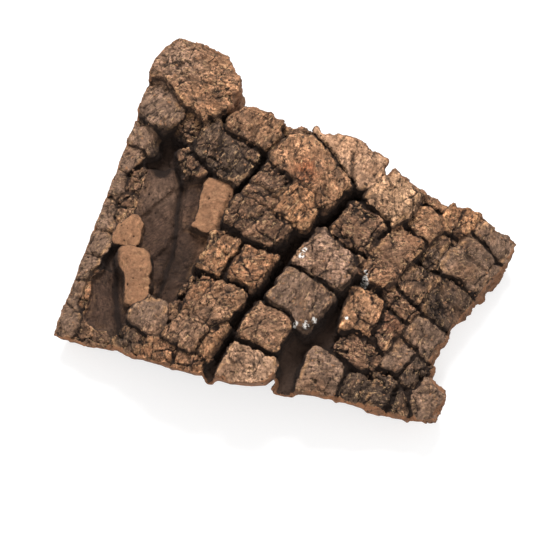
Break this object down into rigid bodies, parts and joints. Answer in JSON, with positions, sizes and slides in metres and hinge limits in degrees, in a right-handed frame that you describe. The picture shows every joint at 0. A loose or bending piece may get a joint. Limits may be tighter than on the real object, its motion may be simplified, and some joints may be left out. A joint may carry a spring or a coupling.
{
  "type": "piece of cork bark",
  "caption": "Flat piece of virgin cork bark, gently arched, with blocky plates and deep fissures on its outer face and two sawn edges.",
  "frame": {"origin": "centre of the bounding box in plan, on the surface that the piece lies on", "axes": "+X round the trunk, along the piece's longest side; +Y up the trunk, along the fissures; +Z out of the bark, through the plated outer face"},
  "size_m": [0.1544, 0.1244, 0.033],
  "materials": {
    "cork_bark": "rough, dry and weathered, tan on worn plates and near black in the fissures"
  },
  "bodies": {
    "root": {"bark": "cork_bark"}
  },
  "joints": []
}
